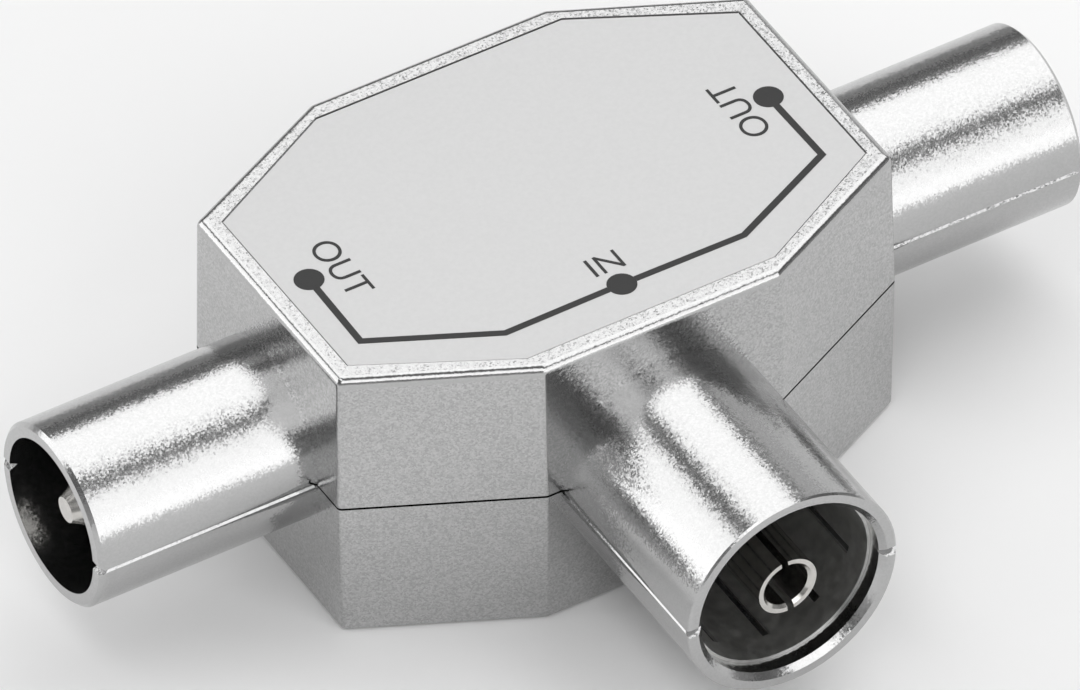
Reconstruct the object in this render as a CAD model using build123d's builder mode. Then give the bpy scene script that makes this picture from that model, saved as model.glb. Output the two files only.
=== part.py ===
from build123d import *
import os

# Two-way coaxial splitter adapter, in millimetres.
# X runs along the two plugs, the socket opens towards -Y and +Z is up.
# The origin is the centre of the flat bottom face.

# Housing: an elongated octagon, cast in two halves that part at the tube axes
half_length = 15.6  # centre to each end face, at the parting plane
half_width = 11.2  # centre to the front and back faces, at the parting plane
end_corner = 6.8  # half the width of an end face
side_corner = 6.6  # half the length of the front and back faces
half_height = 8.2  # height of one half
draft_angle = 1.0  # degrees that each wall leans in from the parting plane
corner_radius = 0.3  # the octagon's upright corners
rim_radius = 0.4  # rounded edge round the top and bottom faces
seam_height = 0.1  # narrow slot round the outside where the halves meet
seam_depth = 0.15
end_wall = 2.4  # wall that holds a plug's insulator
front_wall = 2.4  # wall that holds the socket's insulator
side_wall = 1.4
roof = 1.5  # floor and roof of the hollow
hollow_radius = 0.8  # vertical corners of the hollow
seam_groove = 0.14  # side of the square bar that marks the parting line on a tube
notch_width = 0.5  # where the parting line crosses a rim
notch_depth = 0.45

# Plugs at both ends
plug_radius = 4.75
plug_bore = 4.0
plug_length = 11.95  # from the end face to the rim
plug_rim_chamfer = 0.2
pin_radius = 1.175
pin_recess = 0.8  # from the rim back to the pin's tip
pin_point_length = 0.9  # the tip narrows over this length
pin_point_step = 0.5

# Socket at the front
socket_radius = 5.8
socket_bore = 4.95
socket_length = 11.8  # from the front face to the rim
socket_lead_in = 0.3
socket_rim_chamfer = 0.1
sleeve_wall = 0.15
sleeve_recess = 1.1
sleeve_slots = 10
sleeve_slot_width = 0.4
sleeve_lip = 1.4  # unslotted band at each end of the sleeve
contact_radius = 1.6
contact_bore = 1.2
contact_recess = 0.5
contact_bore_depth = 10.0
contact_slot_width = 0.35
contact_slot_length = 6.5
contact_slot_turn = 6.0  # degrees from upright
contact_lead_in = 0.15

# Insulators and the inner ends of the contacts
insulator_length = 5.0
front_insulator_length = 3.4
collar_step = 0.6  # how far the flats of a collar stand out into its groove
collar_thickness = 1.0
collar_inset = 0.7  # from the hollow to the collar
flange_step = 0.4
flange_thickness = 0.5
tail_radius = 0.5
tail_length = 2.4  # from the hollow's wall to the tail's end

# Joining posts
post_x = 9.8
post_side_inset = 3.6  # from the hollow's back wall to a post's middle
post_radius = 1.0
post_height = 2.2
post_hole_spare = 0.3
boss_radius = 1.9

# Label
label_half_length = 14.5
label_end_corner = 5.95
label_side_corner = 6.9
label_half_width = 10.0
label_thickness = 0.1
label_recess = 0.15
label_clearance = 0.08

# Circuit board, carried between ledges and clamps at both ends
board_thickness = 1.0
board_gap = 0.1  # between a contact's tail and the board
board_clearance = 0.2
board_tongue_half_length = 6.0
ledge_reach = 1.7
ledge_width = 2.0
ledge_clearance = 0.425  # between a ledge and a pin's flange

# Parts on the board
core_width = 5.0
core_height = 3.2
core_length = 4.0
core_hole_radius = 0.8
core_hole_spread = 2.3
wire_radius = 0.15
wire_pitch = 0.36
wire_overhang = 0.45
lead_overhang = 1.1
lead_foot = 0.9
splitter_setback = 4.2  # from the board's back edge to the middle of the core
splitter_turns = 3
matching_x = 3.9
matching_setback = 5.5  # from the board's front edge to the middle of the core
matching_turns = 2
chip_length = 2.0
chip_width = 1.25
chip_x = -3.6
chip_pitch = 3.0
input_capacitor_setback = 3.2  # from the board's front edge to the middle of the chip
resistor_height = 0.5
capacitor_height = 0.9
solder_radius = 1.0
solder_height = 1.35
solder_overlap = 0.4  # from a tail's end back to the middle of its joint

# Levels and reaches worked out from the sizes above
axis_height = half_height
full_height = 2 * half_height
hollow_end = half_length - end_wall
hollow_front = half_width - front_wall
hollow_back = half_width - side_wall
plug_reach = half_length + plug_length
socket_reach = half_width + socket_length
pin_tip = plug_reach - pin_recess
contact_face = socket_reach - contact_recess
sleeve_start = hollow_front + front_insulator_length
sleeve_end = socket_reach - sleeve_recess
sleeve_bore = socket_bore - sleeve_wall
board_top = axis_height - tail_radius - board_gap
board_bottom = board_top - board_thickness
board_half_length = hollow_end - flange_thickness - board_clearance
board_front = hollow_front - flange_thickness - board_clearance
board_back = hollow_back - board_clearance
post_y = hollow_back - post_side_inset
board_bar_half_width = post_y - boss_radius - board_clearance
ledge_y = pin_radius + flange_step + ledge_clearance + ledge_width / 2
splitter_y = board_back - splitter_setback
matching_y = -board_front + matching_setback
input_capacitor_y = -board_front + input_capacitor_setback
matching_capacitor_y = input_capacitor_y + chip_pitch
resistor_y = matching_capacitor_y + chip_pitch

# Working planes. On each port plane, x points out along the tube and y points up.
crossing = Vector(0, 0, axis_height)
seam = Plane.XY.offset(axis_height)
left_port = Plane(origin=crossing, x_dir=(-1, 0, 0), z_dir=(0, 1, 0))
right_port = Plane(origin=crossing, x_dir=(1, 0, 0), z_dir=(0, -1, 0))
front_port = Plane(origin=crossing, x_dir=(0, -1, 0), z_dir=(-1, 0, 0))


def across(port, distance):
    """Plane across a port's tube, facing out, at a distance from the crossing."""
    return Plane(origin=crossing + port.x_dir * distance, x_dir=port.z_dir, z_dir=port.x_dir)


def band(start, end, radius, mode=Mode.ADD):
    """Half section of a disc between two distances along a port, from its axis to a radius."""
    with Locations((start, 0)):
        Rectangle(end - start, radius, align=Align.MIN, mode=mode)


def collar(port, start, bore):
    """Square collar round an insulator that starts at a distance from the crossing."""
    side = 2 * (bore + collar_step)
    with Locations(across(port, start + collar_inset + collar_thickness / 2)):
        Box(side, side, collar_thickness)


def octagon(end, end_half, side, side_half):
    """Corners of an octagon that is symmetric about X and Y."""
    back = [(end, end_half), (side_half, side), (-side_half, side), (-end, end_half)]
    return back + [(-x, -y) for x, y in back]


def winding_route(x, y, turns):
    """Centre line of a wire wound through both holes of a core at (x, y)."""
    left = x - core_hole_spread / 2
    right = x + core_hole_spread / 2
    turn_end = core_length / 2 + wire_overhang
    lead_end = core_length / 2 + lead_overhang
    foot_level = board_top + wire_radius
    level = board_top + core_height / 2 - (turns - 0.5) * wire_pitch / 2
    route = [(left, y - lead_end - lead_foot, foot_level), (left, y - lead_end, foot_level)]
    front = lead_end
    for turn in range(turns):
        route += [(left, y - front, level), (left, y + turn_end, level)]
        level += wire_pitch / 2
        front = lead_end if turn == turns - 1 else turn_end
        route += [(right, y + turn_end, level), (right, y - front, level)]
        level += wire_pitch / 2
        front = turn_end
    return route + [(right, y - lead_end, foot_level), (right, y - lead_end - lead_foot, foot_level)]


# Outer form of the three tubes, upper halves only
with BuildPart() as half_tubes:
    for port, radius, reach in (
        (left_port, plug_radius, plug_reach),
        (right_port, plug_radius, plug_reach),
        (front_port, socket_radius, socket_reach),
    ):
        with BuildSketch(across(port, 0)):
            Circle(radius)
        extrude(amount=reach)
    split(bisect_by=seam, keep=Keep.TOP)
    arcs = half_tubes.edges().filter_by(GeomType.CIRCLE)
    chamfer(arcs.group_by(Axis.X)[0] + arcs.group_by(Axis.X)[-1], plug_rim_chamfer)
    chamfer(arcs.group_by(Axis.Y)[0], socket_rim_chamfer)

# Outer form of one half of the housing: half the octagon's height with the half tubes
with BuildPart() as half_form:
    with BuildSketch(seam.offset(seam_height / 2)):
        Polygon(*octagon(half_length, end_corner, half_width, side_corner))
    extrude(amount=half_height - seam_height / 2, taper=draft_angle)
    fillet(half_form.edges().filter_by(Plane.XY, reverse=True), corner_radius)
    fillet(half_form.faces().sort_by(Axis.Z)[-1].edges(), rim_radius)
    with BuildSketch(seam):
        Polygon(*octagon(half_length, end_corner, half_width, side_corner))
        offset(amount=-seam_depth, kind=Kind.INTERSECTION)
    extrude(amount=seam_height / 2)
    add(half_tubes.part)
    for port, radius, reach, face in (
        (left_port, plug_radius, plug_reach, half_length),
        (right_port, plug_radius, plug_reach, half_length),
        (front_port, socket_radius, socket_reach, half_width),
    ):
        with BuildSketch(across(port, reach)):
            with Locations((-radius, 0), (radius, 0)):
                Rectangle(seam_groove, seam_groove, rotation=45)
        extrude(amount=face - reach, mode=Mode.SUBTRACT)
        with BuildSketch(port):
            half_notch = notch_width / 2
            Polygon((reach - notch_depth, 0), (reach, -half_notch), (reach, half_notch), align=None)
        extrude(amount=radius, both=True, mode=Mode.SUBTRACT)

# Space inside the housing, with the bores of the three tubes and the collars' grooves
with BuildPart() as hollow:
    with BuildSketch(Plane.XY.offset(roof)):
        Polygon(*octagon(half_length, end_corner, half_width, side_corner))
        offset(amount=-side_wall, kind=Kind.INTERSECTION)
        with Locations((0, (hollow_back - hollow_front) / 2)):
            Rectangle(2 * hollow_end, hollow_back + hollow_front, mode=Mode.INTERSECT)
    extrude(amount=full_height - 2 * roof)
    fillet(hollow.edges().filter_by(Axis.Z), hollow_radius)
    for port, bore, start, reach in (
        (left_port, plug_bore, hollow_end, plug_reach),
        (right_port, plug_bore, hollow_end, plug_reach),
        (front_port, socket_bore, hollow_front, socket_reach),
    ):
        with BuildSketch(port):
            band(start - hollow_radius, reach, bore)
        revolve(axis=Axis(crossing, port.x_dir))
        collar(port, start, bore)
    mouth_radius = socket_bore + socket_lead_in
    with BuildSketch(front_port):
        with BuildLine():
            Polyline(
                (socket_reach - socket_lead_in, 0),
                (socket_reach, 0),
                (socket_reach, mouth_radius),
                (socket_reach - socket_lead_in, socket_bore),
                close=True,
            )
        make_face()
    revolve(axis=Axis(crossing, front_port.x_dir))

# Upper housing, with the label's recess, four sockets for the posts and the board's clamps
with BuildPart() as upper_housing:
    add(half_form.part)
    add(hollow.part, mode=Mode.SUBTRACT)
    with BuildSketch(Plane.XY.offset(full_height)):
        Polygon(*octagon(label_half_length, label_end_corner, label_half_width, label_side_corner))
    extrude(amount=-label_recess, mode=Mode.SUBTRACT)
    with BuildSketch(seam):
        with GridLocations(2 * post_x, 2 * post_y, 2, 2):
            Circle(boss_radius)
            Circle(post_radius, mode=Mode.SUBTRACT)
    extrude(amount=post_height + post_hole_spare)
    with BuildSketch(seam.offset(post_height + post_hole_spare)):
        with GridLocations(2 * post_x, 2 * post_y, 2, 2):
            Circle(boss_radius)
    extrude(amount=half_height - roof - post_height - post_hole_spare)
    with BuildSketch(Plane.XY.offset(board_top)):
        with GridLocations(2 * hollow_end - board_clearance - ledge_reach, 2 * ledge_y, 2, 2):
            Rectangle(ledge_reach - board_clearance, ledge_width)
    extrude(amount=full_height - roof - board_top)

# Lower housing, with the posts and the ledges that carry the board
with BuildPart() as lower_housing:
    mirror(half_form.part, about=seam)
    add(hollow.part, mode=Mode.SUBTRACT)
    with BuildSketch(Plane.XY.offset(roof)):
        with GridLocations(2 * post_x, 2 * post_y, 2, 2):
            Circle(boss_radius)
    extrude(amount=half_height - roof)
    with BuildSketch(seam):
        with GridLocations(2 * post_x, 2 * post_y, 2, 2):
            Circle(post_radius)
    extrude(amount=post_height)
    with BuildSketch(Plane.XY.offset(roof)):
        with GridLocations(2 * hollow_end - ledge_reach, 2 * ledge_y, 2, 2):
            Rectangle(ledge_reach, ledge_width)
    extrude(amount=board_bottom - roof)

# Foil label in its recess
with BuildPart() as label:
    with BuildSketch(Plane.XY.offset(full_height - label_recess)):
        Polygon(*octagon(label_half_length, label_end_corner, label_half_width, label_side_corner))
        offset(amount=-label_clearance, kind=Kind.INTERSECTION)
    extrude(amount=label_thickness)

nodes = {"upper_housing": upper_housing, "lower_housing": lower_housing, "label": label}

# Centre pins of the two plugs, each with a flange behind its insulator and a thin tail
for side, port in (("left", left_port), ("right", right_port)):
    with BuildPart() as pin:
        with BuildSketch(port):
            band(hollow_end - tail_length, hollow_end, tail_radius)
            band(hollow_end - flange_thickness, hollow_end, pin_radius + flange_step)
            band(hollow_end, pin_tip, pin_radius)
        revolve(axis=Axis(crossing, port.x_dir))
        tip = pin.faces().sort_by(Axis(crossing, port.x_dir))[-1]
        chamfer(tip.edges(), pin_point_step, pin_point_length, reference=tip)
    nodes[side + "_pin"] = pin

# Insulators, each with a square collar that the housing's groove keeps from sliding and turning
for name, port, start, length, bore, inner in (
    ("left_insulator", left_port, hollow_end, insulator_length, plug_bore, pin_radius),
    ("right_insulator", right_port, hollow_end, insulator_length, plug_bore, pin_radius),
    ("front_insulator", front_port, hollow_front, front_insulator_length, socket_bore, contact_radius),
):
    with BuildPart() as insulator:
        with BuildSketch(port):
            band(start, start + length, bore)
        revolve(axis=Axis(crossing, port.x_dir))
        collar(port, start, bore)
        with BuildSketch(across(port, start)):
            Circle(inner)
        extrude(amount=length, mode=Mode.SUBTRACT)
    nodes[name] = insulator

# Split contact tube of the socket
with BuildPart() as socket_contact:
    with BuildSketch(front_port):
        band(hollow_front - tail_length, hollow_front, tail_radius)
        band(hollow_front - flange_thickness, hollow_front, contact_radius + flange_step)
        band(hollow_front, contact_face, contact_radius)
        band(contact_face - contact_bore_depth, contact_face, contact_bore, mode=Mode.SUBTRACT)
    revolve(axis=Axis(crossing, front_port.x_dir))
    chamfer(socket_contact.faces().sort_by(Axis.Y)[0].inner_wires().edges(), contact_lead_in)
    with BuildSketch(across(front_port, contact_face)):
        Rectangle(contact_slot_width, 3 * contact_radius, rotation=contact_slot_turn)
    extrude(amount=-contact_slot_length, mode=Mode.SUBTRACT)
nodes["socket_contact"] = socket_contact

# Spring sleeve: a thin tube whose fingers are closed at both ends
with BuildPart() as spring_sleeve:
    with BuildSketch(front_port):
        band(sleeve_start, sleeve_end, socket_bore)
        band(sleeve_start, sleeve_end, sleeve_bore, mode=Mode.SUBTRACT)
    revolve(axis=Axis(crossing, front_port.x_dir))
    slot_length = sleeve_end - sleeve_start - 2 * sleeve_lip
    with Locations(across(front_port, (sleeve_start + sleeve_end) / 2)):
        with PolarLocations(socket_bore - sleeve_wall / 2, sleeve_slots, start_angle=90):
            Box(4 * sleeve_wall, sleeve_slot_width, slot_length, mode=Mode.SUBTRACT)
nodes["spring_sleeve"] = spring_sleeve

# Cross-shaped circuit board
with BuildPart() as circuit_board:
    with BuildSketch(Plane.XY.offset(board_bottom)):
        Rectangle(2 * board_half_length, 2 * board_bar_half_width)
        with Locations((0, (board_back - board_front) / 2)):
            Rectangle(2 * board_tongue_half_length, board_back + board_front)
    extrude(amount=board_thickness)
nodes["circuit_board"] = circuit_board

# Two-hole ferrite cores and the wire wound through each
for name, x, y, turns in (
    ("splitter", 0, splitter_y, splitter_turns),
    ("matching", matching_x, matching_y, matching_turns),
):
    middle = Plane(origin=(x, y, board_top + core_height / 2), x_dir=(1, 0, 0), z_dir=(0, -1, 0))
    with BuildPart() as core:
        with BuildSketch(middle):
            SlotOverall(core_width, core_height)
            with GridLocations(core_hole_spread, 0, 2, 1):
                Circle(core_hole_radius, mode=Mode.SUBTRACT)
        extrude(amount=core_length / 2, both=True)
    nodes[name + "_core"] = core
    with BuildPart() as winding:
        with BuildLine() as route:
            Polyline(*winding_route(x, y, turns))
        with BuildSketch(Plane(origin=route.line @ 0, z_dir=route.line % 0)):
            RegularPolygon(wire_radius, 8)
        sweep(path=route.line, transition=Transition.RIGHT)
    nodes[name + "_winding"] = winding

# Surface-mounted parts on the board
for name, y, height in (
    ("isolation_resistor", resistor_y, resistor_height),
    ("input_capacitor", input_capacitor_y, capacitor_height),
    ("matching_capacitor", matching_capacitor_y, capacitor_height),
):
    with BuildPart() as chip:
        with Locations((chip_x, y, board_top)):
            Box(chip_length, chip_width, height, align=(Align.CENTER, Align.CENTER, Align.MIN))
    nodes[name] = chip

# Solder joints that hold the contacts' tails on the board
for name, port, start in (
    ("left_pin_solder", left_port, hollow_end),
    ("right_pin_solder", right_port, hollow_end),
    ("socket_solder", front_port, hollow_front),
):
    tail_end = start - tail_length
    middle = crossing + port.x_dir * (tail_end + solder_overlap)
    with BuildPart() as solder:
        with BuildSketch(Plane(origin=(middle.X, middle.Y, board_top))):
            Circle(solder_radius)
        extrude(amount=solder_height)
        with BuildSketch(across(port, tail_end)):
            Circle(tail_radius)
        extrude(amount=tail_length, mode=Mode.SUBTRACT)
    nodes[name] = solder

for name, node in nodes.items():
    node.part.label = name
    export_step(node.part, "parts/" + name + ".step")
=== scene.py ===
# %% [markdown]
# # A coaxial T adapter in satin nickel
# The adapter is a small metal thing, 55 mm long: an octagonal die-cast box with two plugs in
# line and a socket at the front. The CAD part already holds every solid piece, so this lesson
# is about the rest: the finish of each metal, the print on the label, the studio and the camera.

import math

import bpy
import numpy as np
from mathutils import Matrix, Vector


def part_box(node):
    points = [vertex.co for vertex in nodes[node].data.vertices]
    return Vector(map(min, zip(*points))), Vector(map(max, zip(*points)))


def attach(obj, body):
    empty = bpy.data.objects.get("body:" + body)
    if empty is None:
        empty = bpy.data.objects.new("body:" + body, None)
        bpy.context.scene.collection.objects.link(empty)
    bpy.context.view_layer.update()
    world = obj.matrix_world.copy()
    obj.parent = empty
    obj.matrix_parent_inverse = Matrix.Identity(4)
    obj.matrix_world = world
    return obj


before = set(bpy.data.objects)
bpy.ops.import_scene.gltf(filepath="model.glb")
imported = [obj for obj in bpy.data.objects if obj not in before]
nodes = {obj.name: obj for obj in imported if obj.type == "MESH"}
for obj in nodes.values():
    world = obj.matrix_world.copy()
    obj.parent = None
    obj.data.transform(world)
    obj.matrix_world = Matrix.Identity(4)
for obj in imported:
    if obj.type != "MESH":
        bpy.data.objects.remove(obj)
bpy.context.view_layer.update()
scene = bpy.context.scene
MM = 0.001  # one millimetre in scene units, which are metres
print("CAD pieces:", len(nodes))

# %% [markdown]
# ## Sizes
# The numbers below are read from the frame, so the scene still fits if the part changes. The
# label's box tells how high its top face is and how far the walls reach, and the plugs' pins tell
# how high the tubes' axes stand, which is also where the two halves of the housing meet.

# %% Measure the frame
label_low, label_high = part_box("label")
pin_low, pin_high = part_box("right_pin")
label_top = label_high.z
axis_height = (pin_low.z + pin_high.z) / 2
print(f"label {(label_high.x - label_low.x) / MM:.1f} mm long, top at {label_top / MM:.2f} mm")
print(f"tube axes at {axis_height / MM:.2f} mm")

# %% [markdown]
# ## Helpers for materials
# Colours are written as sRGB hex values, the way a paint chart gives them, and one function turns
# them to the linear values that Blender renders with. One more small function adds a shader node,
# with its settings and what goes into each of its inputs.


# %% Colour and node helpers
def linear(hex_colour):
    """sRGB hex to linear RGBA: c / 12.92 near black, otherwise ((c + 0.055) / 1.055) ** 2.4."""
    srgb = np.array([int(hex_colour[i : i + 2], 16) for i in (1, 3, 5)]) / 255
    rgb = np.where(srgb <= 0.04045, srgb / 12.92, ((srgb + 0.055) / 1.055) ** 2.4)
    return (*rgb.tolist(), 1.0)


def add_node(tree, kind, inputs, **settings):
    """Adds a node. Each input, by name or number, takes a value or another node's output."""
    node = tree.nodes.new(kind)
    for name, value in settings.items():
        setattr(node, name, value)
    for name, value in inputs.items():
        if isinstance(value, bpy.types.NodeSocket):
            tree.links.new(value, node.inputs[name])
        else:
            node.inputs[name].default_value = value
    return node


def new_material(name, surface):
    """A material with one Principled shader. Returns it with its node tree and the shader."""
    material = bpy.data.materials.new(name)
    material.use_nodes = True
    tree = material.node_tree
    tree.nodes.clear()
    shader = add_node(tree, "ShaderNodeBsdfPrincipled", surface)
    add_node(tree, "ShaderNodeOutputMaterial", {"Surface": shader.outputs["BSDF"]})
    return material, tree, shader


def grain(tree, size_mm):
    """Noise on Object coordinates, whose blobs are about size_mm across."""
    place = add_node(tree, "ShaderNodeTexCoord", {}).outputs["Object"]
    return add_node(
        tree, "ShaderNodeTexNoise", {"Vector": place, "Scale": 1 / (size_mm * MM)}
    ).outputs[0]


def stretch(tree, value, low, high):
    """Maps noise, which mostly lies between 0.3 and 0.7, to a range from low to high."""
    return add_node(
        tree,
        "ShaderNodeMapRange",
        {"Value": value, "From Min": 0.3, "From Max": 0.7, "To Min": low, "To Max": high},
    ).outputs["Result"]


def blend(tree, value, first, second):
    """Mixes two colours by a value between 0 and 1. Each is a hex value or a node's output."""
    first, second = (
        colour if isinstance(colour, bpy.types.NodeSocket) else linear(colour)
        for colour in (first, second)
    )
    return add_node(
        tree, "ShaderNodeMix", {"Factor": value, "A": first, "B": second}, data_type="RGBA"
    ).outputs["Result"]


print("helpers ready: white is", linear("#FFFFFF")[:3])

# %% [markdown]
# ## Satin nickel on die-cast zinc
# The halves are cast in zinc and plated in a satin nickel bath, which leaves a pearly skin of
# grains. The eye sees soft highlights whose edges break up into specks. Here each grain, a cell of
# a Voronoi pattern, is tilted a little its own way. Within a bright or a dark area that hardly
# shows, and where a highlight ends some grains catch the light and others miss it. Real grains are
# some thousandths of a millimetre across. They are drawn larger here, just large enough to show.

# %% Size and tilt of the grains
GRAIN_SIZE = 0.085  # millimetres
GRAIN_TILT = 0.035  # largest tilt, as a slope
UNEVEN_SIZE = 2.5  # millimetres across the shallow dips that the casting leaves
UNEVEN_DEPTH = 0.06  # millimetres
UNEVEN_SHARE = 0.15  # share of that unevenness that the plating leaves
GLOSS_PATCH = 0.3  # millimetres across the patches of like gloss
GLOSS = (0.15, 0.2)  # roughness, from the smoothest patches to the dullest
print(f"{1 / GRAIN_SIZE:.0f} grains to a millimetre, tilted by up to {GRAIN_TILT:.3f}")


# %% Normals of the grains
def grain_normal(tree, offsets):
    """The surface normal n + 2 t d, brought back to length 1.

    n is the normal of the slightly uneven casting, t the largest tilt, and d a grain's random
    vector, whose three parts lie between -1/2 and 1/2.
    """
    casting = {"Distance": UNEVEN_DEPTH * MM, "Height": grain(tree, UNEVEN_SIZE)}
    uneven = add_node(tree, "ShaderNodeBump", {"Strength": UNEVEN_SHARE, **casting})
    tilt = add_node(
        tree, "ShaderNodeVectorMath", {0: offsets, "Scale": 2 * GRAIN_TILT}, operation="SCALE"
    )
    tilted = add_node(
        tree, "ShaderNodeVectorMath", {0: uneven.outputs[0], 1: tilt.outputs[0]}, operation="ADD"
    )
    return add_node(
        tree, "ShaderNodeVectorMath", {0: tilted.outputs[0]}, operation="NORMALIZE"
    ).outputs[0]


# %% [markdown]
# ## Walls, tubes and the slot's painted shadow
# The grains differ in shade as well: plainly on the walls, which keep the skin of the casting, and
# hardly on the tubes and the top rim, which are dressed smooth before they are plated. A dark band
# is painted along the narrow slot between the halves: a painted shadow, for the shade that falls
# into the slot. One material covers it all, so it tells these parts apart by their place.

# %% Shades, the slot's painted shadow, and the reach of the walls, the rim and the slot
GRAIN_SHADES = ("#A8A8A8", "#C4C4C4")  # the darkest and the lightest grains
# painted shadow: the shade that falls into the slot between the halves
SLOT_PAINTED_SHADOW = "#262626"
SMOOTH_SHARE = 0.25  # contrast of the grains' shades on smooth parts, as a share of the walls'
RIM_WIDTH = 1.3  # millimetres from the label's edge to beyond the walls
RIM_DEPTH = 0.5  # millimetres from the label's top to the walls
SLOT_HALF = 0.05  # half the height of the slot between the halves, in millimetres
SLOT_EDGE = 0.08  # millimetres from the slot's middle to where its dark edge ends
walls_end = label_high.x + RIM_WIDTH * MM
walls_front = label_low.y - RIM_WIDTH * MM
walls_top = label_top - RIM_DEPTH * MM
print(f"plugs start {walls_end / MM:.1f} mm out, and the socket {-walls_front / MM:.1f} mm")


# %% Where the tubes are
def tube_mask(tree, place):
    """1 where |x| or -y lies beyond the walls, and 0 elsewhere."""
    distance = add_node(tree, "ShaderNodeMath", {0: place["X"]}, operation="ABSOLUTE")
    on_plugs = add_node(
        tree, "ShaderNodeMath", {0: distance.outputs[0], 1: walls_end}, operation="GREATER_THAN"
    )
    on_socket = add_node(
        tree, "ShaderNodeMath", {0: place["Y"], 1: walls_front}, operation="LESS_THAN"
    )
    return add_node(
        tree,
        "ShaderNodeMath",
        {0: on_plugs.outputs[0], 1: on_socket.outputs[0]},
        operation="MAXIMUM",
    ).outputs[0]


# %% Where the grains hardly differ in shade
def smooth_mask(tree, place, tubes):
    """1 on the tubes and the top rim, and 0 on the walls."""
    on_rim = add_node(
        tree, "ShaderNodeMath", {0: place["Z"], 1: walls_top}, operation="GREATER_THAN"
    )
    return add_node(
        tree, "ShaderNodeMath", {0: tubes, 1: on_rim.outputs[0]}, operation="MAXIMUM"
    ).outputs[0]


# %% Where the slot's shadow is painted
def slot_shadow_mask(tree, place, tubes):
    """Painted shadow in the slot: 1 round the walls, falling to 0 at its edge, and 0 on the tubes.
    """
    above = add_node(
        tree, "ShaderNodeMath", {0: place["Z"], 1: axis_height}, operation="SUBTRACT"
    )
    distance = add_node(tree, "ShaderNodeMath", {0: above.outputs[0]}, operation="ABSOLUTE")
    limits = {"From Min": SLOT_HALF * MM, "From Max": SLOT_EDGE * MM, "To Min": 1.0, "To Max": 0.0}
    near = add_node(tree, "ShaderNodeMapRange", {"Value": distance.outputs[0], **limits})
    return add_node(
        tree,
        "ShaderNodeMath",
        {0: near.outputs["Result"], 1: tubes},
        operation="SUBTRACT",
        use_clamp=True,
    ).outputs[0]


# %% Shades of the grains
def grain_colour(tree, coordinates, offsets):
    """Base colour: each grain's own shade of nickel, and a painted shadow in the slot."""
    place = add_node(tree, "ShaderNodeSeparateXYZ", {"Vector": coordinates}).outputs
    tubes = tube_mask(tree, place)
    contrast = add_node(
        tree,
        "ShaderNodeMapRange",
        {"Value": smooth_mask(tree, place, tubes), "To Min": 1.0, "To Max": SMOOTH_SHARE},
    ).outputs["Result"]
    random = add_node(tree, "ShaderNodeSeparateXYZ", {"Vector": offsets}).outputs["X"]
    shade = add_node(
        tree, "ShaderNodeMath", {0: random, 1: contrast, 2: 0.5}, operation="MULTIPLY_ADD"
    ).outputs[0]
    skin = blend(tree, shade, *GRAIN_SHADES)
    # the slot gets its painted shadow over the grains
    return blend(tree, slot_shadow_mask(tree, place, tubes), skin, SLOT_PAINTED_SHADOW)


# %% Plated housing
def satin_nickel():
    """Nickel skin of fine grains, each with its own tilt and shade, and a painted slot shadow."""
    material, tree, shader = new_material("satin nickel plate on die-cast zinc", {"Metallic": 1.0})
    coordinates = add_node(tree, "ShaderNodeTexCoord", {}).outputs["Object"]
    grains = add_node(
        tree, "ShaderNodeTexVoronoi", {"Vector": coordinates, "Scale": 1 / (GRAIN_SIZE * MM)}
    ).outputs["Color"]
    offsets = add_node(
        tree, "ShaderNodeVectorMath", {0: grains, 1: (0.5, 0.5, 0.5)}, operation="SUBTRACT"
    ).outputs[0]
    gloss = stretch(tree, grain(tree, GLOSS_PATCH), *GLOSS)
    tree.links.new(grain_colour(tree, coordinates, offsets), shader.inputs["Base Color"])
    tree.links.new(gloss, shader.inputs["Roughness"])
    tree.links.new(grain_normal(tree, offsets), shader.inputs["Normal"])
    return material


# %% Dress the two halves
def dress(material, *names):
    """Gives CAD nodes their material, in the slot that they came with."""
    for name in names:
        nodes[name].material_slots[0].material = material
    print(material.name, "on", ", ".join(names))


dress(satin_nickel(), "upper_housing", "lower_housing")

# %% [markdown]
# ## The other finishes
# The inner pieces only show in the mouths of the tubes, or when the housing is taken away. Each
# still gets the look of its real material, made from the same few helpers: a base colour that
# varies a little, a roughness that varies with it, and a fine bump.

# %% One function for the plainer finishes
BUMP_SHARE = 0.6  # how much of a bump's slope shows


def plain_finish(name, colours, rough, size_mm, bump_mm, metallic=0.0):
    """A material whose colour and roughness drift between two values, with grain of one size."""
    material, tree, shader = new_material(name, {"Metallic": metallic})
    noise = grain(tree, size_mm)
    bump = add_node(
        tree, "ShaderNodeBump", {"Strength": BUMP_SHARE, "Distance": bump_mm * MM, "Height": noise}
    )
    spread = stretch(tree, noise, 0.0, 1.0)
    tree.links.new(blend(tree, spread, *colours), shader.inputs["Base Color"])
    tree.links.new(stretch(tree, noise, *rough), shader.inputs["Roughness"])
    tree.links.new(bump.outputs["Normal"], shader.inputs["Normal"])
    return material


# %% Metals inside the tubes
# The pins are turned and then plated bright: a crisp gloss that is a little uneven.
pin_plating = plain_finish(
    "bright nickel plate on turned brass",
    colours=("#C4C2BE", "#D2D0CC"),
    rough=(0.16, 0.24),
    size_mm=0.4,
    bump_mm=0.004,
    metallic=1.0,
)
dress(pin_plating, "left_pin", "right_pin", "socket_contact")
# The sleeve is stamped from rolled strip, whose rollers leave a broad, soft sheen.
spring_metal = plain_finish(
    "rolled nickel silver strip",
    colours=("#CECECC", "#DEDEDC"),
    rough=(0.38, 0.48),
    size_mm=0.5,
    bump_mm=0.004,
    metallic=1.0,
)
dress(spring_metal, "spring_sleeve")

# %% Moulded and laminated pieces
# Polyacetal leaves its mould with a dull, faintly waxy skin.
moulding = plain_finish(
    "moulded black polyacetal",
    colours=("#141414", "#1C1C1C"),
    rough=(0.45, 0.6),
    size_mm=0.4,
    bump_mm=0.006,
)
dress(moulding, "left_insulator", "right_insulator", "front_insulator")
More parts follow.
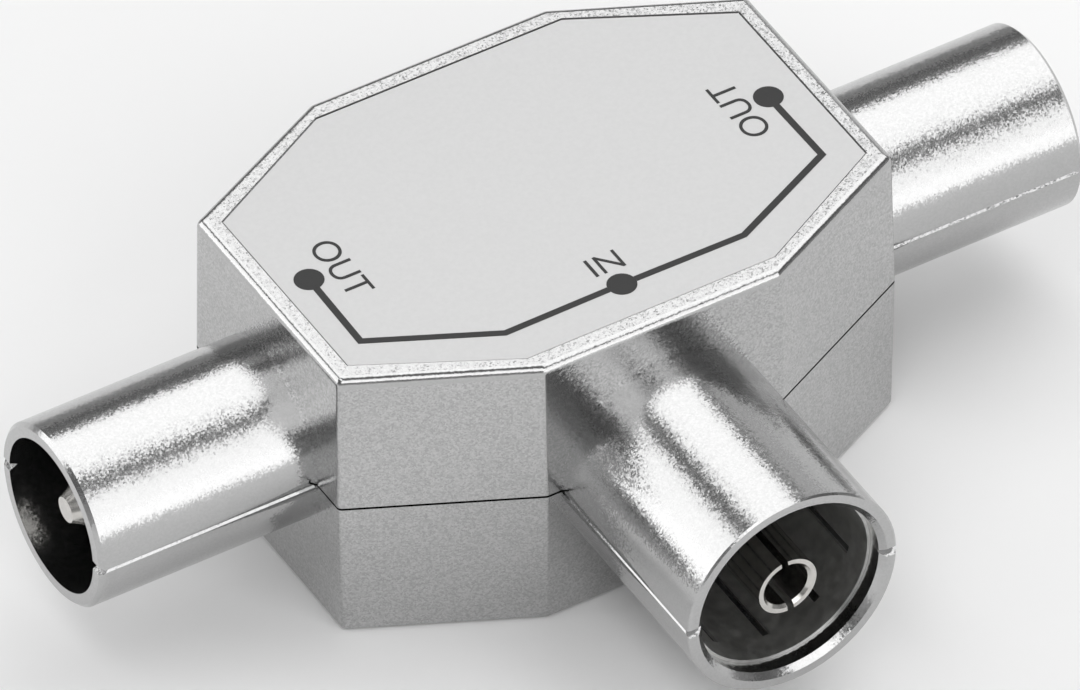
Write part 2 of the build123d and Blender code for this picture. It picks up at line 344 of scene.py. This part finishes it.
# The board's green lacquer is smooth over the woven glass below it.
laminate = plain_finish(
    "glass-fibre laminate",
    colours=("#2F5A3A", "#3A6A45"),
    rough=(0.35, 0.5),
    size_mm=0.5,
    bump_mm=0.006,
)
dress(laminate, "circuit_board")

# %% Pieces on the board
# Ferrite is pressed powder, fired hard: dark, grainy and matt.
ferrite = plain_finish(
    "sintered ferrite",
    colours=("#2B2B2D", "#37373A"),
    rough=(0.55, 0.7),
    size_mm=0.2,
    bump_mm=0.01,
)
dress(ferrite, "splitter_core", "matching_core")
# The wire's clear enamel keeps the gloss and the warm colour of drawn copper.
wire = plain_finish(
    "enamelled copper wire",
    colours=("#9A4B22", "#B05C2E"),
    rough=(0.2, 0.3),
    size_mm=0.3,
    bump_mm=0.002,
    metallic=1.0,
)
dress(wire, "splitter_winding", "matching_winding")
# Chip bodies are fired ceramic, fine and matt.
chip = plain_finish(
    "fired chip ceramic",
    colours=("#6E5E50", "#7C6B5C"),
    rough=(0.45, 0.6),
    size_mm=0.2,
    bump_mm=0.004,
)
dress(chip, "isolation_resistor", "input_capacitor", "matching_capacitor")
# Solder has flowed and set: bright, with soft ripples.
solder = plain_finish(
    "tin solder",
    colours=("#A9A9AC", "#BDBDC0"),
    rough=(0.25, 0.4),
    size_mm=0.4,
    bump_mm=0.01,
    metallic=1.0,
)
dress(solder, "left_pin_solder", "right_pin_solder", "socket_solder")

# %% [markdown]
# ## Foil label
# The label is aluminium foil with a matt, light grey print coat. The coat hides most of the
# metal: what is left is a satin sheen, so the material is mostly a light grey paint with a
# little metallic in it.

# %% Label
foil = plain_finish(
    "satin coated aluminium foil",
    colours=("#CECECE", "#D2D2D2"),
    rough=(0.42, 0.5),
    size_mm=0.25,
    bump_mm=0.002,
    metallic=0.15,
)
dress(foil, "label")

# %% [markdown]
# ## Port diagram
# A thin line joins three dots, one for each port, with the generic port words IN and OUT beside
# them. Real ink lies on the foil, some hundredths of a millimetre thick, so each mark is a thin
# solid: a flat outline that is lifted off the label and given a side wall.

# %% Sizes and places of the marks, in millimetres on the label
INK_THICKNESS = 0.02
LINE_WIDTH = 0.36
DOT_RADIUS = 0.745
LEFT_DOT = (-12.95, 0.27)
IN_DOT = (-0.34, -7.79)
RIGHT_DOT = (12.54, -0.02)
LEFT_LINE = [LEFT_DOT, (-13.05, -4.75), (-6.85, -7.85), IN_DOT]
RIGHT_LINE = [IN_DOT, (6.45, -7.85), (12.6, -4.9), RIGHT_DOT]
IN_HEIGHT = 1.28
OUT_HEIGHT = 1.38


# %% A flat mark as a thin solid
def ink_slab(name, outline):
    """A closed outline, anticlockwise, at the label's top and again one ink thickness above it.

    The bottom face runs backwards so that it looks down, and each side of the outline, from point
    k to point k + 1, gets a wall.
    """
    count = len(outline)
    low = np.column_stack([outline * MM, np.full(count, label_top)])
    high = low + (0, 0, INK_THICKNESS * MM)
    here = np.arange(count)
    there = (here + 1) % count
    walls = np.column_stack([here, there, there + count, here + count])
    lids = [(here + count).tolist(), here[::-1].tolist()]
    mesh = bpy.data.meshes.new(name)
    mesh.from_pydata(np.vstack([low, high]).tolist(), [], lids + walls.tolist())
    piece = bpy.data.objects.new(name, mesh)
    scene.collection.objects.link(piece)
    return piece


# %% The dots
def dot(name, centre, sides=48):
    """A disc: centre + radius * (cos t, sin t) for t from 0 to a full turn."""
    turn = np.linspace(0, 2 * np.pi, sides, endpoint=False)
    outline = np.array(centre) + DOT_RADIUS * np.column_stack([np.cos(turn), np.sin(turn)])
    return ink_slab(name, outline)


# %% The line
def trace(name, points):
    """A ribbon along a polyline, from the edge of one dot to the edge of the next.

    Each corner is moved along the mean of its two side directions, by half the width over the
    cosine of half the corner's turn, so that the width stays equal.
    """
    points = np.array(points, float)
    along = np.diff(points, axis=0)
    along /= np.linalg.norm(along, axis=1)[:, None]
    points[0] += DOT_RADIUS * along[0]
    points[-1] -= DOT_RADIUS * along[-1]
    side = np.column_stack([-along[:, 1], along[:, 0]])
    mean = np.vstack([side[:1], side[:-1] + side[1:], side[-1:]])
    mean /= np.linalg.norm(mean, axis=1)[:, None]
    reach = LINE_WIDTH / 2 / (mean * np.vstack([side, side[-1:]])).sum(axis=1)
    left, right = points + mean * reach[:, None], points - mean * reach[:, None]
    return ink_slab(name, np.vstack([right, left[::-1]]))


ink_pieces = [
    dot("left_port_dot", LEFT_DOT),
    dot("front_port_dot", IN_DOT),
    dot("right_port_dot", RIGHT_DOT),
    trace("left_line", LEFT_LINE),
    trace("right_line", RIGHT_LINE),
]
print("marks:", ", ".join(piece.name for piece in ink_pieces))


# %% The port words
def word(name, text, height, centre, turn):
    """A word as a solid of ink: text of a set height, centred on a point, turned in degrees."""
    curve = bpy.data.curves.new(name, "FONT")
    curve.body = text
    curve.align_x = "CENTER"
    curve.align_y = "CENTER"
    curve.offset = -0.006  # thinner strokes
    curve.extrude = 0.5  # any depth will do, because the ink's own is set below
    written = bpy.data.objects.new(name, curve)
    scene.collection.objects.link(written)
    bpy.context.view_layer.update()
    mesh = bpy.data.meshes.new_from_object(written)
    mesh.name = name
    bpy.data.objects.remove(written)
    corners = np.empty(3 * len(mesh.vertices), np.float32)
    mesh.vertices.foreach_get("co", corners)
    corners = corners.reshape(-1, 3)
    low, high = corners.min(axis=0), corners.max(axis=0)
    scale = height * MM / (high[1] - low[1])
    flat = (corners[:, :2] - (low[:2] + high[:2]) / 2) * scale
    cosine, sine = math.cos(math.radians(turn)), math.sin(math.radians(turn))
    placed = flat @ np.array([[cosine, sine], [-sine, cosine]]) + np.array(centre) * MM
    depth = label_top + (corners[:, 2] - low[2]) / (high[2] - low[2]) * INK_THICKNESS * MM
    mesh.vertices.foreach_set("co", np.column_stack([placed, depth]).astype(np.float32).ravel())
    mesh.update()
    piece = bpy.data.objects.new(name, mesh)
    scene.collection.objects.link(piece)
    return piece


ink_pieces += [
    word("in_word", "IN", IN_HEIGHT, centre=(-0.29, -6.1), turn=0),
    word("left_out_word", "OUT", OUT_HEIGHT, centre=(-11.21, 0.19), turn=-90),
    word("right_out_word", "OUT", OUT_HEIGHT, centre=(10.85, -0.11), turn=90),
]

# %% Printing ink
# Ink that is pressed through a screen lies even and opaque: a near black with a soft sheen.
ink = plain_finish(
    "screen-printed grey ink",
    colours=("#191919", "#1F1F1F"),
    rough=(0.4, 0.5),
    size_mm=0.3,
    bump_mm=0.002,
)
for piece in ink_pieces:
    piece.data.materials.clear()
    piece.data.materials.append(ink)
    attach(piece, "root")
print("inked:", len(ink_pieces), "pieces")

# %% [markdown]
# ## Studio
# Satin metal shows its surroundings, so the room is most of the look. The adapter lies on a white
# sweep, a floor whose rim curves up all round, so that the metal mirrors no edge between floor and
# wall. It is worked out as a surface of revolution.

# %% White sweep
SWEEP_FLAT = 2.2  # radius of the flat middle, in metres
SWEEP_CURVE = 1.0  # radius of the rise at its rim
INNER_RINGS = (0.3, 1.0)  # radii of the rings of corners within the flat middle


def sweep_floor(rings=24, sides=96):
    """Surface of revolution: flat to SWEEP_FLAT, then a quarter circle that rises to a wall.

    With an angle s from 0 to 90 degrees along the rise, the radius is flat + curve sin s and the
    height is curve (1 - cos s).
    """
    rise = np.linspace(0, np.pi / 2, rings)
    radius = np.concatenate([INNER_RINGS, SWEEP_FLAT + SWEEP_CURVE * np.sin(rise)])
    height = np.concatenate([np.zeros(len(INNER_RINGS)), SWEEP_CURVE * (1 - np.cos(rise))])
    step = np.arange(sides)
    turn = 2 * np.pi * step / sides
    grid = np.stack(
        [
            radius[:, None] * np.cos(turn),
            radius[:, None] * np.sin(turn),
            np.repeat(height[:, None], sides, axis=1),
        ],
        axis=-1,
    )
    ring = sides * np.arange(len(radius) - 1)[:, None]
    here, there = ring + step, ring + (step + 1) % sides
    quads = np.stack([here, here + sides, there + sides, there], axis=-1).reshape(-1, 4)
    corners = np.vstack([grid.reshape(-1, 3), [[0, 0, 0]]])
    middle = np.full(sides, len(corners) - 1)
    hub = np.column_stack([middle, step, (step + 1) % sides])
    mesh = bpy.data.meshes.new("floor")
    mesh.from_pydata(corners.tolist(), [], quads.tolist() + hub.tolist())
    mesh.polygons.foreach_set("use_smooth", np.ones(len(mesh.polygons), bool))
    floor = bpy.data.objects.new("floor", mesh)
    scene.collection.objects.link(floor)
    return floor


floor = sweep_floor()
paper, _, _ = new_material(
    "white backdrop paper", {"Base Color": linear("#F4F4F4"), "Roughness": 0.9}
)
floor.data.materials.append(paper)
print("sweep:", len(floor.data.polygons), "faces")

# %% [markdown]
# ## Soft boxes
# Six large soft boxes stand and hang around the adapter. A tube mirrors a wide arc of the room as
# narrow bands along its length, so where a box ends is where a bright band ends. The dark gap
# between the top box and the boxes to its left is the thin dark streak along each tube. Five of
# the boxes share one radiance, at which a colour renders about as it is written. The side box is
# dimmer, and the fill box leans in from the left, for the end faces and for the roots of the tubes.

# %% Soft boxes with a gap between them
PANEL_HEIGHT = 1.2  # metres from the floor to the level boxes
STUDIO = Matrix.Rotation(math.radians(30.5), 3, "Z")  # the studio is turned from +X towards +Y
RADIANCE = 1.88  # watts per square metre and steradian
SIDE_RADIANCE = 0.5


def panel(name, start, end, width, facing, radiance):
    """A soft box: an area lamp, whose power is radiance * pi * area.

    start and end are the middles of two opposite sides, as shares of PANEL_HEIGHT in the studio's
    axes. The box shines towards facing, which is square to the line from start to end.
    """
    start, end = STUDIO @ Vector(start), STUDIO @ Vector(end)
    run, behind = (end - start).normalized(), -(STUDIO @ Vector(facing)).normalized()
    lamp = bpy.data.lights.new(name, "AREA")
    lamp.shape = "RECTANGLE"
    lamp.size, lamp.size_y = (end - start).length * PANEL_HEIGHT, width * PANEL_HEIGHT
    lamp.energy = radiance * math.pi * lamp.size * lamp.size_y
    box = bpy.data.objects.new(name, lamp)
    turned = Matrix((run, behind.cross(run), behind)).transposed()
    box.matrix_world = Matrix.Translation((start + end) / 2 * PANEL_HEIGHT) @ turned.to_4x4()
    box.visible_camera = False
    scene.collection.objects.link(box)
    print(f"{name}: {lamp.size:.2f} by {lamp.size_y:.2f} m, {lamp.energy:.1f} W")


panel("top_box", (0.165, 0.15, 1.0), (1.05, 0.15, 1.0), 1.7, (0, 0, -1), RADIANCE)
panel("front_box", (-0.48, -1.1, 0.0), (-0.48, -1.1, 1.6), 1.04, (0, 1, 0), RADIANCE)
panel("back_box", (-0.56, 1.1, 0.0), (-0.56, 1.1, 1.2), 1.0, (0, -1, 0), RADIANCE)
panel("side_box", (1.3, 0.15, 0.0), (1.3, 0.15, 0.95), 0.9, (-1, 0, 0), SIDE_RADIANCE)
panel("left_box", (-0.18, 0.55, 1.0), (-0.55, -0.15, 1.0), 0.36, (0, 0, -1), RADIANCE)
panel("fill_box", (-1.23, -0.9, 0.83), (-0.65, -0.16, 1.17), 0.71, (0.2, 0.28, -0.95), RADIANCE)

# %% Dim room
ROOM_LIGHT = 0.18  # what reaches the adapter from the rest of the room
room = bpy.data.worlds.new("dim studio")
room.use_nodes = True
room.node_tree.nodes["Background"].inputs["Color"].default_value = linear("#FFFFFF")
room.node_tree.nodes["Background"].inputs["Strength"].default_value = ROOM_LIGHT
scene.world = room
scene.view_settings.view_transform = "Standard"
print("room light", ROOM_LIGHT, "of white")

# %% [markdown]
# ## Camera
# The adapter is seen from far away through a long lens, so parallel edges stay almost parallel.
# The camera aims at a point near the middle of the housing, from the left of the socket and from
# above, and is rolled by less than a degree. The lens's axis doesn't meet the picture's exact
# middle, so the picture is shifted by a few pixels.

# %% Place, turn and lens of the camera
AIM = Vector((1.392, 2.662, 3.244)) * MM
DISTANCE = 1187.6 * MM
AZIMUTH = math.radians(30.3)  # to the left of the socket's axis
ELEVATION = math.radians(42.747)  # above the floor
ROLL = math.radians(-0.704)
LENS = 817.0  # focal length in millimetres, over a sensor of the width below
SENSOR = 36.0
CLIP = (0.1, 10.0)  # metres from the camera between which things are drawn
IMAGE = (1080, 690)  # pixels
IMAGE_CENTRE = (543.61, 345.99)  # the pixel that the lens's axis meets

# %% Camera
# Its sight is (cos e sin a, cos e cos a, -sin e) for azimuth a and elevation e, and its picture's
# right side is level, rolled about that line.
level = Vector((math.cos(AZIMUTH), -math.sin(AZIMUTH), 0))
ahead = Vector((math.sin(AZIMUTH), math.cos(AZIMUTH), 0))
sight = ahead * math.cos(ELEVATION) - Vector((0, 0, math.sin(ELEVATION)))
image_right = level * math.cos(ROLL) + level.cross(sight) * math.sin(ROLL)
turned = Matrix((image_right, image_right.cross(sight), -sight)).transposed()

camera = bpy.data.objects.new("camera", bpy.data.cameras.new("camera"))
camera.data.sensor_width = SENSOR
camera.data.lens = LENS
camera.data.shift_x = -(IMAGE_CENTRE[0] - IMAGE[0] / 2) / IMAGE[0]
camera.data.shift_y = (IMAGE_CENTRE[1] - IMAGE[1] / 2) / IMAGE[0]
camera.data.clip_start, camera.data.clip_end = CLIP
camera.matrix_world = Matrix.Translation(AIM - sight * DISTANCE) @ turned.to_4x4()
scene.collection.objects.link(camera)
scene.camera = camera
print(f"camera {camera.location.length:.2f} m from the origin, lens {LENS:.0f} mm")
